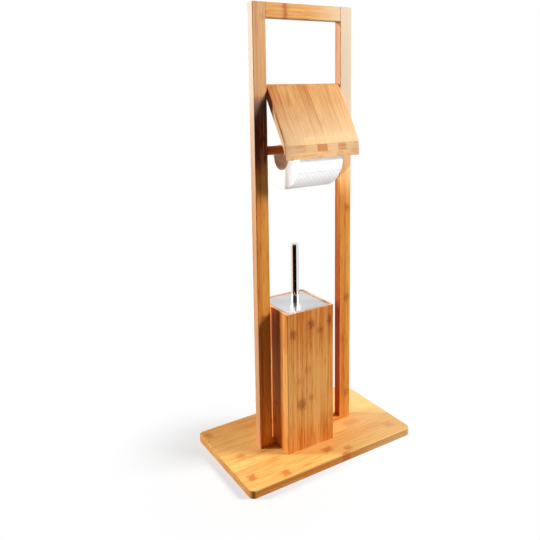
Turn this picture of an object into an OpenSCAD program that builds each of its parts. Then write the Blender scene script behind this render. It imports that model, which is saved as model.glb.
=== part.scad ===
// Toilet roll and brush stand in bamboo, standing on the floor.
// Origin: middle of the base board's underside. X runs from side to side, Y from front to back, Z up.
// A frame of two posts and two rails stands on a base board. A curved cover and a paper rod hang between
// the posts, and a square box with the toilet brush straddles the foot rail below them.

/* [Stand] */
// Height of the stand, from the floor to the top of the frame
stand_h = 820; // [790:5:900]
// Width of the base board, side to side
base_w = 360; // [300:5:420]
// Depth of the base board, front to back
base_d = 210; // [180:5:260]
// Thickness of the base board
base_t = 15; // [12:1:20]
// Radius of the base board's upright corners
base_corner_r = 10; // [4:1:20]
// Radius of the eased edges on the board, the posts and the rails
ease_r = 1.2; // [0.5:0.1:2]

/* [Frame] */
// Width over both posts
frame_w = 210; // [206:1:240]
// Width of a post, seen from the front
post_w = 26; // [22:1:28]
// Depth of the posts and the rails, front to back
post_d = 16; // [15:1:22]
// Height of the top rail
top_rail_h = 26; // [20:1:30]
// Thickness of the foot rail, which lies on the base board between the posts
foot_rail_h = 7; // [5:0.5:9]
// Length of each end of the foot rail that is let into its post
foot_lap = 10; // [8:1:14]
// Diameter of the dowels that hold the top rail
dowel_d = 6; // [5:0.5:8]
// Length of those dowels
dowel_l = 28; // [20:2:36]

/* [Base screws] */
// Diameter of the screws that hold the frame on the base board
screw_d = 4; // [3.5:0.5:5]
// Length of those screws
screw_l = 45; // [35:5:60]
// Diameter of their countersunk heads
screw_head_d = 8; // [7:0.5:9]

/* [Paper holder] */
// Share of the free height that stays open above the cover, to carry the stand by; the rest is room for a
// hand between the brush handle and the roll
grip_share = 0.5187; // [0.35:0.01:0.65]
// Distance from that hinge down to the axis of the paper rod
rod_drop = 108; // [104:1:118]
// Diameter of the paper rod
rod_d = 16; // [13:0.5:18]
// Diameter of the spigot at each end of the rod
spigot_d = 8; // [6:0.5:9]
// Depth of the slots in the posts, which the spigots drop into
slot_depth = 10; // [8:0.5:12]
// Slope of those slots, which rise from the seat to the back of the post, in degrees
slot_slope = 45; // [35:5:55]

/* [Paper roll] */
// Diameter of the full roll
roll_d = 116; // [95:1:118]
// Width of the roll
roll_w = 95; // [90:1:110]
// Inner diameter of its card core
core_d = 45; // [38:1:48]
// Wall of the card core
core_wall = 1.2; // [0.8:0.1:2]
// Height of the step where the last sheet ends
sheet_step = 1; // [0.5:0.1:1.5]

/* [Cover] */
// Thickness of the cover
cover_t = 13.5; // [11:0.5:15]
// Length of its flat part, from the hinge to the bend
cover_flat = 91; // [86:1:96]
// Outer radius of the bend
cover_bend_r = 72; // [60:1:80]
// Length of the upright lip below the bend
cover_lip = 8; // [5:0.5:12]
// Thickness of the lip's lower edge
lip_edge_t = 2; // [1:0.5:4]
// Gap between each end of the cover and its post
cover_gap = 1.5; // [0.5:0.1:3]
// Diameter of the hinge pins
hinge_pin_d = 5; // [4:0.5:6]
// Length of a hinge pin
hinge_pin_l = 26; // [20:1:30]

/* [Brush box] */
// Outer width and depth of the box
box_w = 102; // [98:1:110]
// Height of the box
box_h = 267; // [250:1:280]
// Thickness of its walls
box_wall = 5; // [4:0.5:7]
// Thickness of its raised floor
box_floor_t = 6; // [4:0.5:8]
// Gap between the box and the left post, where the box stands on the foot rail
box_gap = 8; // [2:1:48]
// Wall of the plastic liner
liner_wall = 2; // [1.5:0.1:3]
// Radius of the liner's upright corners
liner_corner_r = 8; // [4:0.5:12]
// Gap between the liner and the box
liner_gap = 1; // [0.5:0.1:2]

/* [Brush] */
// Thickness of the steel lid
lid_t = 1.5; // [1:0.1:2.5]
// Gap between the lid's edge and the box
lid_gap = 1.5; // [1:0.1:2]
// Height of the handle above the lid
handle_h = 113; // [95:1:115]
// Diameter of the handle tube
handle_d = 15; // [13:0.5:18]
// Wall of the handle tube
handle_wall = 1; // [0.8:0.1:1.5]
// Diameter of the stem between the lid and the brush head
stem_d = 8; // [6:0.5:9]
// Diameter of the brush head over its bristles
head_d = 78; // [70:1:80]
// Length of the bristled part of the head
head_l = 66; // [50:1:80]
// Diameter of the head's plastic core
head_core_d = 22; // [18:1:26]

/* [Hidden] */
$fn = 64;

// Overrun of every cut past the face that it opens in
cut = 1;

// Named clearances: one for each kind of fit
glue_fit = 0.05;       // a glued or pressed piece in its hole, on the radius
running_fit = 0.06;    // a pin that turns or slides in its hole, on the radius
slot_fit = 0.03;       // the spigot on its way out of the slot, which is narrower than its round seat
seat_gap = 0.3;        // what rests lightly on a curved face
pin_end_gap = 0.5;     // between the end of a hinge pin and the bottom of its hole
rod_end_gap = 0.5;     // between the rod's shoulder and the post
spigot_end_gap = 0.5;  // between the spigot's end and the bottom of its slot

// Places on the frame
clear_w = frame_w - 2 * post_w;
post_x = (frame_w - post_w) / 2;
post_h = stand_h - base_t;
dowel_pitch_share = 0.5;
lid_set = 0.5;

// Screws: one through the lap of the foot rail and one beside it, under each post
screw_head_h = (screw_head_d - screw_d) / 2;
screw_sink = 0.5;
screw_tip_l = screw_d;
screw_point_r = 0.5;
screw_land = 0.6;
screw_slot_w = 1.1;
screw_slot_l = 4.4;
screw_slot_depth = 1.5;
screw_xs = [frame_w / 2 - post_w + foot_lap / 2, frame_w / 2 - (post_w - foot_lap) / 2];

// The roll hangs on the rod, and the cover rests on the roll
core_r = core_d / 2;
roll_r = roll_d / 2;
hinge_to_roll = rod_drop + core_r - rod_d / 2 - seat_gap;
cover_half_t = cover_t / 2;
holder_h = roll_r + hinge_to_roll + cover_half_t;
handle_top = base_t + box_h - lid_set + handle_h;
free_h = stand_h - top_rail_h - holder_h - handle_top;
hand_room = (1 - grip_share) * free_h;
roll_z = handle_top + hand_room + roll_r;
hinge_z = roll_z + hinge_to_roll;
rod_z = hinge_z - rod_drop;
cover_tilt = asin((roll_r + seat_gap + cover_half_t) / hinge_to_roll);
cover_w = clear_w - 2 * cover_gap;
cover_touch = hinge_to_roll * cos(cover_tilt);
touch_margin = 3;
cover_round_steps = 12;
cover_bend_steps = 14;
cover_inside_steps = 8;
inside_bend_share = 0.45;
spigot_l = slot_depth - spigot_end_gap + rod_end_gap;
spigot_ease = 0.8;
rod_ease = 1;
sheet_edge_angle = 193;
roll_steps = 96;

// The box straddles the foot rail, so its sides are notched and its floor is raised
notch_gap = 0.5;
notch_top_gap = 1;
box_corner_r = 1.5;
box_x = box_gap + box_w / 2 - clear_w / 2;
box_inner = box_w - 2 * box_wall;
box_top = base_t + box_h;
floor_gap = 2;
floor_z = base_t + foot_rail_h + floor_gap;
liner_z = floor_z + box_floor_t;
liner_w = box_inner - 2 * liner_gap;
liner_floor_t = 2.5;
lid_z = box_top - lid_set - lid_t;
lid_w = box_inner - 2 * lid_gap;
lid_corner_r = 1.5;
liner_h = lid_z - liner_z;

// The handle, its plug and the stem
handle_z = lid_z + lid_t;
cap_h = 3;
cap_bevel = 1.4;
cap_plug_l = 8;
tube_l = handle_h - cap_h;
tube_bore_r = handle_d / 2 - handle_wall;
plug_l = 18;
stem_in_plug = 15;
washer_d = 16;
washer_t = 1.6;
nut_af = 13;
nut_h = 6.5;

// The brush head hangs clear of the liner's floor
head_floor_gap = 6;
head_tilt_down = 52;
head_tilt_up = 14;
tilt_down_share = 0.4;
tilt_up_share = 0.75;
head_collar = 1.2;
core_end_h = 4;
core_neck_h = 16;
core_neck_d = 14;
socket_depth = 22;
strand_rows = 16;
strand_columns = 48;
strand_tip_share = 0.55;
strand_row_share = 0.36;
ring_r = head_core_d / 2 + head_collar;
strand_l = head_d / 2 - ring_r;
head_z = liner_z + liner_floor_t + head_floor_gap + strand_l * sin(head_tilt_down);
core_z = head_z - core_end_h;
core_top = head_z + head_l + core_end_h;
stem_end_z = core_top + core_neck_h - socket_depth;

bamboo = "burlywood";
bamboo_dark = "peru";
steel = "silver";
chrome = "gainsboro";

// A rectangle w by h, centred, with round corners of radius r
module rounded_rect(w, h, r) {
  square([w - 2 * r, h], center = true);
  square([w, h - 2 * r], center = true);
  for (x = [-1, 1], y = [-1, 1]) translate([x * (w / 2 - r), y * (h / 2 - r)]) circle(r = r);
}

// A rectangle t by w whose two corners on the +X side are round, for a panel with an outer face there
module panel_section(t, w, r) {
  translate([-t / 2, -w / 2]) square([t - r, w]);
  translate([-t / 2, -w / 2 + r]) square([t, w - 2 * r]);
  for (y = [-1, 1]) translate([t / 2 - r, y * (w / 2 - r)]) circle(r = r);
}

// A board w by d by t on the plane z = 0, with upright corners of radius r and every arris eased by e
module eased_board(w, d, t, r, e) {
  translate([0, 0, t / 2]) {
    rotate([90, 0, 90]) linear_extrude(w - 2 * r, center = true) rounded_rect(d, t, e);
    rotate([90, 0, 0]) linear_extrude(d - 2 * r, center = true) rounded_rect(w, t, e);
    for (x = [-1, 1], y = [-1, 1])
      translate([x * (w / 2 - r), y * (d / 2 - r), 0]) rotate_extrude() intersection() {
        rounded_rect(2 * r, t, e);
        translate([0, -t]) square([r, 2 * t]);
      }
  }
}

// A countersunk screw that points up from z = 0. As a hole it is grown by c all round and has a flat end
module screw(c, end_r) {
  r = screw_d / 2 + c;
  head_r = screw_head_d / 2 + c;
  rotate_extrude() polygon([
    [0, 0], [head_r, 0], [head_r, screw_land], [r, screw_land + screw_head_h],
    [r, screw_l - screw_tip_l], [end_r, screw_l + c], [0, screw_l + c]
  ]);
}

// Puts its children at the four screws
module at_screws() {
  for (side = [-1, 1], x = screw_xs) translate([side * x, 0, screw_sink]) children();
}

// The holes for all four screws, open at the underside of the board
module screw_holes() {
  at_screws() {
    screw(glue_fit, screw_d / 2 + glue_fit);
    translate([0, 0, -screw_sink - cut]) cylinder(d = screw_head_d + 2 * glue_fit, h = screw_sink + cut + screw_land);
  }
}

module base_board() {
  color(bamboo) difference() {
    eased_board(base_w, base_d, base_t, base_corner_r, ease_r);
    screw_holes();
  }
}

// A dowel hole or a dowel, along X, grown by c on its radius
module dowel(l, c) {
  rotate([0, 90, 0]) cylinder(d = dowel_d + 2 * c, h = l + 2 * c, center = true);
}

module at_dowels() {
  for (side = [-1, 1], up = [-1, 1])
    translate([side * clear_w / 2, 0, stand_h - top_rail_h / 2 + up * top_rail_h * dowel_pitch_share / 2]) children();
}

// The slot for a spigot: a round seat at the rod's axis and a sloping way out through the back of the post
module spigot_slot() {
  slot_w = spigot_d + 2 * slot_fit;
  translate([0, 0, rod_z]) rotate([90, 0, 90]) linear_extrude(slot_depth + cut) {
    circle(d = spigot_d + 2 * running_fit);
    rotate(slot_slope) translate([0, -slot_w / 2]) square([2 * post_d, slot_w]);
  }
}

// The right post, with its inner face towards -X
module post() {
  inner_x = clear_w / 2;
  difference() {
    translate([post_x, 0, base_t]) linear_extrude(post_h) rounded_rect(post_w, post_d, ease_r);
    translate([inner_x - cut, -post_d / 2 - cut, base_t - cut])
      cube([foot_lap + cut, post_d + 2 * cut, foot_rail_h + cut]);
    translate([inner_x - cut, 0, 0]) spigot_slot();
    translate([inner_x, 0, hinge_z]) rotate([0, 90, 0])
      cylinder(d = hinge_pin_d + 2 * glue_fit, h = hinge_pin_l + 2 * pin_end_gap, center = true);
    at_dowels() dowel(dowel_l, glue_fit);
    screw_holes();
  }
}

module left_post() {
  color(bamboo) mirror([1, 0, 0]) post();
}

module right_post() {
  color(bamboo) post();
}

module top_rail() {
  color(bamboo) difference() {
    translate([0, 0, stand_h - top_rail_h / 2]) rotate([90, 0, 90])
      linear_extrude(clear_w, center = true) rounded_rect(post_d, top_rail_h, ease_r);
    at_dowels() dowel(dowel_l, glue_fit);
  }
}

module foot_rail() {
  rail_l = clear_w + 2 * foot_lap;
  color(bamboo_dark) difference() {
    translate([-rail_l / 2, -post_d / 2, base_t]) cube([rail_l, post_d, foot_rail_h]);
    screw_holes();
  }
}

module rail_dowels() {
  color(bamboo_dark) at_dowels() dowel(dowel_l, 0);
}

// Each screw has a cross recess in its head
module base_screws() {
  color(steel) at_screws() difference() {
    screw(0, screw_point_r);
    for (turn = [0, 90]) rotate(turn) translate([-screw_slot_l / 2, -screw_slot_w / 2, -cut])
      cube([screw_slot_l, screw_slot_w, screw_slot_depth + cut]);
  }
}

// The pins are pressed into the posts, and the cover turns on their free ends
module hinge_pins() {
  color(steel) for (side = [-1, 1])
    translate([side * clear_w / 2, 0, hinge_z]) rotate([0, 90, 0])
      cylinder(d = hinge_pin_d, h = hinge_pin_l, center = true);
}

// The cover's outline, seen along the hinge: x runs down its outer face, y points out of it, and the
// hinge is at the origin. The inside is flat where it rests on the roll, and curves down to a thin lip.
function bend_point(a) = [cover_flat + cover_bend_r * sin(a), cover_half_t - cover_bend_r * (1 - cos(a))];
lip_end = bend_point(cover_tilt) + cover_lip * [cos(cover_tilt), -sin(cover_tilt)];
lip_inside = lip_end - lip_edge_t * [sin(cover_tilt), cos(cover_tilt)];
inside_start = [cover_touch + touch_margin, -cover_half_t];
inside_control = [inside_start.x + inside_bend_share * (lip_inside.x - inside_start.x), -cover_half_t];
function inside_point(u) =
  (1 - u) * (1 - u) * lip_inside + 2 * u * (1 - u) * inside_control + u * u * inside_start;
cover_outline = concat(
  [for (i = [0 : cover_round_steps]) let (a = 270 - 180 * i / cover_round_steps) cover_half_t * [cos(a), sin(a)]],
  [for (i = [0 : cover_bend_steps]) bend_point(cover_tilt * i / cover_bend_steps)],
  [lip_end],
  [for (i = [0 : cover_inside_steps]) inside_point(i / cover_inside_steps)]
);

module roll_cover() {
  hole_l = hinge_pin_l / 2 - cover_gap + pin_end_gap + cut;
  color(bamboo) translate([0, 0, hinge_z]) difference() {
    rotate([-cover_tilt, 0, 0]) rotate([0, 90, 180]) linear_extrude(cover_w, center = true) polygon(cover_outline);
    for (side = [-1, 1]) translate([side * (cover_w / 2 + cut), 0, 0]) rotate([0, -90 * side, 0])
      cylinder(d = hinge_pin_d + 2 * running_fit, h = hole_l);
  }
}

// The rod: a turned bar with a spigot at each end
module roll_rod() {
  half_l = clear_w / 2 - rod_end_gap;
  tip = half_l + spigot_l;
  spigot_r = spigot_d / 2;
  color(bamboo_dark) translate([0, 0, rod_z]) rotate([0, 90, 0]) rotate_extrude() polygon([
    [0, -tip], [spigot_r - spigot_ease, -tip], [spigot_r, spigot_ease - tip], [spigot_r, -half_l],
    [rod_d / 2 - rod_ease, -half_l], [rod_d / 2, rod_ease - half_l],
    [rod_d / 2, half_l - rod_ease], [rod_d / 2 - rod_ease, half_l],
    [spigot_r, half_l], [spigot_r, tip - spigot_ease], [spigot_r - spigot_ease, tip], [0, tip]
  ]);
}

module roll_core() {
  color("tan") translate([0, 0, roll_z]) rotate([0, 90, 0]) difference() {
    cylinder(r = core_r + core_wall, h = roll_w, center = true);
    cylinder(r = core_r, h = roll_w + 2 * cut, center = true);
  }
}

// The wound paper: one turn of a spiral outside, so that the last sheet ends in a step at the front
module paper_roll() {
  color("white") translate([0, 0, roll_z]) rotate([90, 0, 90]) difference() {
    linear_extrude(roll_w, center = true) polygon([
      for (i = [0 : roll_steps]) let (turn = i / roll_steps, r = roll_r - sheet_step * (1 - turn))
        r * [cos(sheet_edge_angle + 360 * turn), sin(sheet_edge_angle + 360 * turn)]
    ]);
    cylinder(r = core_r + core_wall + glue_fit, h = roll_w + 2 * cut, center = true);
  }
}

// Puts a piece of the box in its place on the base board
module at_box() {
  translate([box_x, 0, base_t]) children();
}

// A front or back panel, held between the sides
module end_panel(side) {
  color(bamboo) at_box() translate([-box_inner / 2, side * (box_w - box_wall) / 2 - box_wall / 2, 0])
    cube([box_inner, box_wall, box_h]);
}

// The right side panel: its outer corners are the corners of the box, and a notch clears the foot rail
module side_panel() {
  notch_w = post_d + 2 * notch_gap;
  difference() {
    translate([(box_w - box_wall) / 2, 0, 0]) linear_extrude(box_h) panel_section(box_wall, box_w, box_corner_r);
    translate([box_inner / 2 - cut, -notch_w / 2, -cut])
      cube([box_wall + 2 * cut, notch_w, foot_rail_h + notch_top_gap + cut]);
  }
}

module box_front() {
  end_panel(-1);
}

module box_back() {
  end_panel(1);
}

module box_left() {
  color(bamboo) at_box() mirror([1, 0, 0]) side_panel();
}

module box_right() {
  color(bamboo) at_box() side_panel();
}

module box_floor() {
  color(bamboo_dark) translate([box_x - box_inner / 2, -box_inner / 2, floor_z])
    cube([box_inner, box_inner, box_floor_t]);
}

// A square cup that fills the box. The lid rests on its rim
module box_liner() {
  inside_w = liner_w - 2 * liner_wall;
  color("dimgray") translate([box_x, 0, liner_z]) difference() {
    linear_extrude(liner_h) rounded_rect(liner_w, liner_w, liner_corner_r);
    translate([0, 0, liner_floor_t])
      linear_extrude(liner_h) rounded_rect(inside_w, inside_w, liner_corner_r - liner_wall);
  }
}

// Puts a piece of the brush on the middle of the box
module at_brush(z) {
  translate([box_x, 0, z]) children();
}

module lid_plate() {
  color(steel) at_brush(lid_z) difference() {
    linear_extrude(lid_t) rounded_rect(lid_w, lid_w, lid_corner_r);
    translate([0, 0, -cut]) cylinder(d = stem_d + 2 * glue_fit, h = lid_t + 2 * cut);
  }
}

module handle_tube() {
  color(chrome) at_brush(handle_z) difference() {
    cylinder(d = handle_d, h = tube_l);
    translate([0, 0, -cut]) cylinder(r = tube_bore_r, h = tube_l + 2 * cut);
  }
}

// A bevelled end with a plug that goes down into the tube
module handle_cap() {
  plug_r = tube_bore_r - glue_fit;
  color(chrome) at_brush(handle_z + tube_l) rotate_extrude() polygon([
    [0, -cap_plug_l], [plug_r, -cap_plug_l], [plug_r, 0], [handle_d / 2, 0],
    [handle_d / 2, cap_h - cap_bevel], [handle_d / 2 - cap_bevel, cap_h], [0, cap_h]
  ]);
}

module handle_plug() {
  color("darkgray") at_brush(handle_z) difference() {
    cylinder(r = tube_bore_r - glue_fit, h = plug_l);
    translate([0, 0, -cut]) cylinder(d = stem_d + 2 * glue_fit, h = plug_l + 2 * cut);
  }
}

module brush_stem() {
  color(steel) at_brush(stem_end_z) cylinder(d = stem_d, h = handle_z + stem_in_plug - stem_end_z);
}

module stem_washer() {
  color(steel) at_brush(lid_z - washer_t) difference() {
    cylinder(d = washer_d, h = washer_t);
    translate([0, 0, -cut]) cylinder(d = stem_d + 2 * glue_fit, h = washer_t + 2 * cut);
  }
}

module stem_nut() {
  color(steel) at_brush(lid_z - washer_t - nut_h) difference() {
    cylinder(r = nut_af / 2 / cos(30), h = nut_h, $fn = 6);
    translate([0, 0, -cut]) cylinder(d = stem_d + 2 * glue_fit, h = nut_h + 2 * cut);
  }
}

// The head's core: a blunt end, a straight body and a neck with a socket for the stem
module brush_core() {
  r = head_core_d / 2;
  neck_r = core_neck_d / 2;
  body_top = core_top - core_z;
  color("whitesmoke") at_brush(core_z) difference() {
    rotate_extrude() polygon([
      [0, 0], [r - core_end_h / 2, 0], [r, core_end_h / 2], [r, body_top - core_end_h / 2],
      [neck_r, body_top + core_end_h], [neck_r, body_top + core_neck_h], [0, body_top + core_neck_h]
    ]);
    translate([0, 0, stem_end_z - core_z]) cylinder(d = stem_d + 2 * glue_fit, h = socket_depth + cut);
  }
}

// The bristles: rows of four-sided strands that stand on a thin collar round the core. The collar's outside
// is a grid of cells, and a strand grows from every second cell of every strand row, offset from row to row.
// Its lowest rows lean down and its top rows up, each more than the one before, so that no strand meets another.
grid_rows = 2 * strand_rows + 1;
row_pitch = head_l / (strand_rows + strand_row_share * strand_rows + 1);
function grid_z(k) = row_pitch * (ceil(k / 2) + strand_row_share * floor(k / 2));
function grid_point(k, c) =
  [ring_r * cos(360 * c / strand_columns), ring_r * sin(360 * c / strand_columns), grid_z(k)];
function grid_index(k, c) = k * strand_columns + c % strand_columns;
function is_strand(k, c) = k % 2 == 1 && (c + (k - 1) / 2) % 2 == 0;
function lean(u) = -head_tilt_down * max(0, 1 - u / tilt_down_share)
  + head_tilt_up * max(0, (u - tilt_up_share) / (1 - tilt_up_share));
function mid(k, c) = (grid_point(k, c) + grid_point(k + 1, c + 1)) / 2;
function strand_way(k, c) =
  let (tilt = lean((k - 1) / (grid_rows - 3)), a = 360 * (c + 1 / 2) / strand_columns)
  strand_l * [cos(tilt) * cos(a), cos(tilt) * sin(a), sin(tilt)];
function tip(k, c, corner) = mid(k, c) + strand_way(k, c) + strand_tip_share * (corner - mid(k, c));
strand_cells = [for (k = [0 : grid_rows - 1], c = [0 : strand_columns - 1]) if (is_strand(k, c)) [k, c]];
plain_cells = [for (k = [0 : grid_rows - 1], c = [0 : strand_columns - 1]) if (!is_strand(k, c)) [k, c]];
function two(a, b, c, d) = [[a, b, c], [a, c, d]];
function ring_points(r, z) =
  [for (c = [0 : strand_columns - 1]) [r * cos(360 * c / strand_columns), r * sin(360 * c / strand_columns), z]];

module bristles() {
  n = strand_columns;
  collar_r = (head_core_d / 2 + glue_fit) / cos(180 / n);
  collar_points = (grid_rows + 1) * n;
  first_tip = collar_points + 2 * n;
  points = concat(
    [for (k = [0 : grid_rows], c = [0 : n - 1]) grid_point(k, c)],
    ring_points(collar_r, 0),
    ring_points(collar_r, grid_z(grid_rows)),
    [for (cell = strand_cells, corner = [[0, 0], [0, 1], [1, 1], [1, 0]])
      tip(cell[0], cell[1], grid_point(cell[0] + corner[0], cell[1] + corner[1]))]
  );
  faces = concat(
    [for (cell = plain_cells) let (k = cell[0], c = cell[1])
      each two(grid_index(k, c), grid_index(k + 1, c), grid_index(k + 1, c + 1), grid_index(k, c + 1))],
    [for (c = [0 : n - 1]) let (low = collar_points + c, next = collar_points + (c + 1) % n)
      each two(low, next, next + n, low + n)],
    [for (c = [0 : n - 1]) let (low = collar_points + c, next = collar_points + (c + 1) % n)
      each two(low, grid_index(0, c), grid_index(0, c + 1), next)],
    [for (c = [0 : n - 1]) let (low = collar_points + n + c, next = collar_points + n + (c + 1) % n)
      each two(next, grid_index(grid_rows, c + 1), grid_index(grid_rows, c), low)],
    [for (s = [0 : len(strand_cells) - 1]) let (k = strand_cells[s][0], c = strand_cells[s][1], t = first_tip + 4 * s)
      each concat(
        two(t + 3, t + 2, t + 1, t),
        two(grid_index(k, c), t, t + 1, grid_index(k, c + 1)),
        two(grid_index(k, c + 1), t + 1, t + 2, grid_index(k + 1, c + 1)),
        two(grid_index(k + 1, c + 1), t + 2, t + 3, grid_index(k + 1, c)),
        two(grid_index(k + 1, c), t + 3, t, grid_index(k, c))
      )]
  );
  color("white") at_brush(head_z) polyhedron(points, faces);
}

base_board();
left_post();
right_post();
top_rail();
foot_rail();
rail_dowels();
base_screws();
hinge_pins();
roll_cover();
roll_rod();
roll_core();
paper_roll();
box_front();
box_back();
box_left();
box_right();
box_floor();
box_liner();
lid_plate();
handle_tube();
handle_cap();
handle_plug();
brush_stem();
stem_washer();
stem_nut();
brush_core();
bristles();
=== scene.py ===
# %% [markdown]
# # Toilet roll and brush stand
# The stand is a tall bamboo frame on a base board. Its shape comes packed from the solid model, so this
# lesson loads it as a fixed frame and dresses it: wood with strips, fibres and knuckles, a bent cover,
# quilted paper on a card core, a chrome handle on a brushed lid, and the tufts of the brush inside.
# Every length is in metres, X runs from side to side, Y from front to back and Z up.

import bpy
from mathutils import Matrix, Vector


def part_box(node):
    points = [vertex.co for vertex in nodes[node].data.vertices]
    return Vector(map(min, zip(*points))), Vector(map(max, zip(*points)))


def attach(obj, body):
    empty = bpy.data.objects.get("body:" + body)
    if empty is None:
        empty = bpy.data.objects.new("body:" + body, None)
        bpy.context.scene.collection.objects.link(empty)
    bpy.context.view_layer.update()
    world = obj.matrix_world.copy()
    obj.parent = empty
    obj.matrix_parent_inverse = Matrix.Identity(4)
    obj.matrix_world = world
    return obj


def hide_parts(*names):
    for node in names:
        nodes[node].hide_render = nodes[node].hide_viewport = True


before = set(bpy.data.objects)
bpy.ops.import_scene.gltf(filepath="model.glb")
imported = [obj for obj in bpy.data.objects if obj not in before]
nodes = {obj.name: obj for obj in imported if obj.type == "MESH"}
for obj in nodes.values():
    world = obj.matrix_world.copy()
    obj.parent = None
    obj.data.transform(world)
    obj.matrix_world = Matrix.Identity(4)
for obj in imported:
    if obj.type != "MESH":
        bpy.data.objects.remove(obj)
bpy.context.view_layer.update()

import math

import bmesh
import bpy
from mathutils import Matrix, Vector

scene = bpy.context.scene


def new_object(name, data):
    """A new object in the scene, which stays at the origin until it is moved."""
    made = bpy.data.objects.new(name, data)
    scene.collection.objects.link(made)
    return made


# %% [markdown]
# ## The camera
# It is the first thing to place, because everything is judged through it. The stand was photographed from
# the front and left, a little above its middle. The picture was then cropped, so the lens axis lies above
# the middle of the frame. A vertical shift of the lens gives that crop without bending the posts.

# %% Place the camera
FRAME_PX = 540
CAMERA_PLACE = Vector((-0.62037, -0.90062, 0.67777))
YAW, PITCH, ROLL = (math.radians(a) for a in (31.394, 9.147, -0.92))
FOCAL_PX = 604.0
AXIS_ROW_PX = 185

ahead = Vector((math.sin(YAW) * math.cos(PITCH), math.cos(YAW) * math.cos(PITCH), -math.sin(PITCH)))
level = Vector((math.cos(YAW), -math.sin(YAW), 0))
upward = level.cross(ahead)
right = math.cos(ROLL) * level + math.sin(ROLL) * upward
top = math.cos(ROLL) * upward - math.sin(ROLL) * level
lens = bpy.data.cameras.new("camera")
lens.sensor_fit, lens.sensor_width = "HORIZONTAL", 36
lens.lens = FOCAL_PX / FRAME_PX * lens.sensor_width
lens.shift_y = (AXIS_ROW_PX - FRAME_PX / 2) / FRAME_PX
lens.clip_end = 50
scene.camera = new_object("camera", lens)
view = Matrix((right, top, -ahead)).transposed().to_4x4()
scene.camera.matrix_world = Matrix.Translation(CAMERA_PLACE) @ view
print(f"lens {lens.lens:.2f} mm, shift {lens.shift_y:.3f}")

# %% [markdown]
# ## A short way to write node trees
# Wood, paper and metal are all made of small node trees. Writing each node out by hand hides the idea, so
# one helper adds a node, links its sockets or sets their numbers, and hands back its output.


# %% Node helper
class Web:
    """Adds nodes to a tree. A socket given as a value is linked, and a number is written in."""

    def __init__(self, tree):
        self.tree = tree

    def put(self, socket, value):
        if isinstance(value, bpy.types.NodeSocket):
            self.tree.links.new(value, socket)
        elif value is not None:
            socket.default_value = value

    def add(self, kind, *values, out=0, named=(), **settings):
        node = self.tree.nodes.new(kind)
        for key, value in settings.items():
            setattr(node, key, value)
        for socket, value in zip(node.inputs, values):
            self.put(socket, value)
        for key, value in dict(named).items():
            self.put(node.inputs[key], value)
        return node.outputs[out]

    def math(self, operation, a, b=None, clamp=False):
        return self.add("ShaderNodeMath", a, b, operation=operation, use_clamp=clamp)

    def plus(self, a, b):
        return self.math("ADD", a, b)

    def minus(self, a, b):
        return self.math("SUBTRACT", a, b)

    def times(self, a, b):
        return self.math("MULTIPLY", a, b)

    def vector(self, operation, a, b=None, out=0):
        return self.add("ShaderNodeVectorMath", a, b, operation=operation, out=out)

    def xyz(self, x=0.0, y=0.0, z=0.0):
        return self.add("ShaderNodeCombineXYZ", x, y, z)

    def split(self, value):
        self.add("ShaderNodeSeparateXYZ", value)
        return list(self.tree.nodes[-1].outputs)

    def ramp(self, value, low, high, start=0.0, end=1.0, smooth=True):
        """A value between start and end, for a value between low and high, and held past them."""
        curve = "SMOOTHSTEP" if smooth else "LINEAR"
        return self.add("ShaderNodeMapRange", value, low, high, start, end,
                        interpolation_type=curve, clamp=True)

    def noise(self, place, scale=1.0, detail=2.0, roughness=0.5):
        named = {"Vector": place, "Scale": scale, "Detail": detail, "Roughness": roughness}
        return self.add("ShaderNodeTexNoise", named=named)

    def cells(self, place, counts, detail=2.0, roughness=0.5):
        """Noise with its own number of cells a metre along each axis. A low number stretches it."""
        return self.noise(self.vector("MULTIPLY", place, counts), detail=detail, roughness=roughness)

    def here(self):
        """The place on the object itself, so that a pattern moves with its piece."""
        return self.add("ShaderNodeTexCoord", out=3)

    def dent(self, height, strength, depth):
        """A bump, for relief that is too fine for the mesh."""
        return self.add("ShaderNodeBump", named={"Strength": strength, "Distance": depth, "Height": height})

    def mix(self, share, a, b, kind="RGBA"):
        """Blends two colours, or two numbers (FLOAT) or vectors (VECTOR). Each kind has its own sockets."""
        first, out = {"FLOAT": (2, 0), "VECTOR": (4, 1), "RGBA": (6, 2)}[kind]
        self.add("ShaderNodeMix", data_type=kind)
        node = self.tree.nodes[-1]
        for key, value in ((0, share), (first, a), (first + 1, b)):
            self.put(node.inputs[key], value)
        return node.outputs[out]


print("short names:", [name for name in vars(Web) if not name.startswith("_")])


# %% Colours and finishes
def srgb(red, green, blue):
    """A colour as it looks on a screen, 0 to 255, turned into the linear numbers that shaders use."""
    share = [c / 255 for c in (red, green, blue)]
    return (*(s / 12.92 if s < 0.04045 else ((s + 0.055) / 1.055) ** 2.4 for s in share), 1)


def new_finish(name, **constants):
    """A material with its shader, its node helper and its constant numbers set on the shader itself."""
    made = bpy.data.materials.new(name)
    made.use_nodes = True
    shader = made.node_tree.nodes["Principled BSDF"]
    for key, value in constants.items():
        shader.inputs[key.replace("_", " ")].default_value = value
    return made, shader, Web(made.node_tree)


def paint(web, shader, colour=None, roughness=None, relief=None):
    """Leads a colour, a roughness and a relief into a shader. What isn't given stays as it is."""
    for key, value in (("Base Color", colour), ("Roughness", roughness), ("Normal", relief)):
        web.put(shader.inputs[key], value)


def dress(node_name, finish):
    """Gives a carried node its finish."""
    piece = nodes[node_name]
    piece.data.materials.clear()
    piece.data.materials.append(finish)


print("mid grey, in the numbers that shaders use:", [round(c, 3) for c in srgb(128, 128, 128)])

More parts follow.
